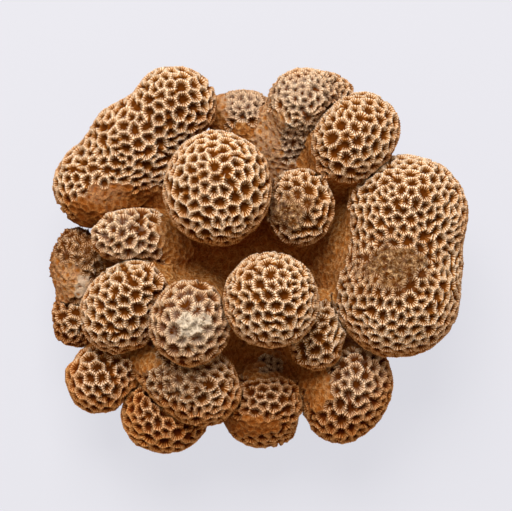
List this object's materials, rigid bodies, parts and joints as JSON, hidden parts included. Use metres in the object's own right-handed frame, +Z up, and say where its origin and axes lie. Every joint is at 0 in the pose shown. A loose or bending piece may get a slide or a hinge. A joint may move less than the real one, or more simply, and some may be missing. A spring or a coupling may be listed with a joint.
{
  "type": "honeycomb coral",
  "caption": "Dried honeycomb coral colony: rounded heads covered with polygonal cups, grown on short stalks from one stem that is cut off flat at the base.",
  "frame": {"origin": "on the flat cut under the stem, below the middle of the colony", "axes": "+Z up out of the cut face, towards the heads; +X to the right and +Y to the far side of somebody who looks down on the colony"},
  "size_m": [0.2033, 0.1889, 0.1212],
  "materials": {
    "coral": "dry matte skeleton, cream ridges over brown cups",
    "old_skeleton": "dry matte, orange-brown and porous"
  },
  "bodies": {
    "root": {"stem": "old_skeleton", "knob_middle": "coral", "knob_centre": "coral", "knob_lower_left": "coral", "knob_right": "coral", "knob_top_right": "coral", "knob_centre_right": "coral", "knob_left": "coral", "knob_left_small": "coral", "knob_lower_middle": "coral", "knob_top_left": "coral", "knob_top": "coral", "knob_middle_right": "coral", "knob_bottom_right": "coral", "knob_bottom": "coral", "knob_bottom_left": "coral", "knob_low_left": "coral", "knob_left_edge": "coral", "knob_left_edge_low": "coral", "knob_top_small": "coral"}
  },
  "joints": []
}
